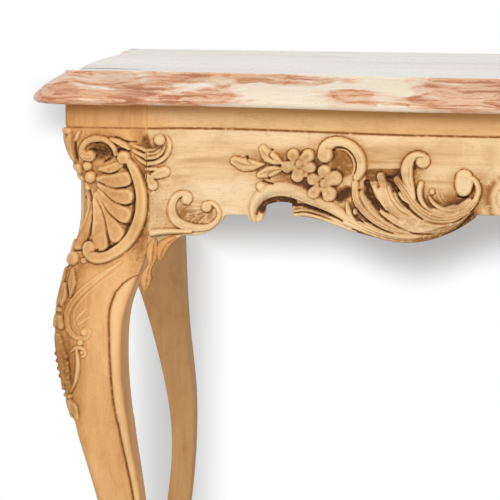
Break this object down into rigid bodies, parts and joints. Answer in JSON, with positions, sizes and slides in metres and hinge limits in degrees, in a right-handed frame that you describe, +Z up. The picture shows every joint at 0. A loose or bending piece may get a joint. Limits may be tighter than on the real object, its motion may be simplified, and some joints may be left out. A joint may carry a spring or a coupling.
{
  "type": "pier table",
  "caption": "Pier table: serpentine moulded marble slab resting on a carved wooden frame with cabriole front legs, shaped aprons and plain back legs.",
  "frame": {"origin": "middle of the bounding box at floor level, under the centre of the slab", "axes": "+Z up, +X along the width to the viewer's right, front towards -Y, wall side towards +Y"},
  "size_m": [1.17, 0.475, 0.86],
  "materials": {
    "marble": "polished",
    "carved_wood": "waxed, stained in the recesses",
    "inner_wood": "sawn, unfinished",
    "steel": "dull"
  },
  "bodies": {
    "frame": {"front_rail": "carved_wood", "front_apron": "carved_wood", "front_shell": "carved_wood", "back_rail": "carved_wood", "front_left_leg": "carved_wood", "front_right_leg": "carved_wood", "back_left_leg": "carved_wood", "back_right_leg": "carved_wood", "left_side_rail": "carved_wood", "right_side_rail": "carved_wood", "left_side_apron": "carved_wood", "right_side_apron": "carved_wood", "left_bearer": "inner_wood", "right_bearer": "inner_wood", "front_left_brace": "inner_wood", "front_right_brace": "inner_wood", "back_left_brace": "inner_wood", "back_right_brace": "inner_wood", "apron_dowels": "inner_wood", "bearer_screws": "steel", "brace_bolts": "steel"},
    "slab": {"marble_top": "marble"}
  },
  "joints": [
    {"name": "slab_lift", "type": "slide", "parent": "frame", "child": "slab", "axis": [0, 0, 1], "range_m": [0, 0.15]}
  ]
}
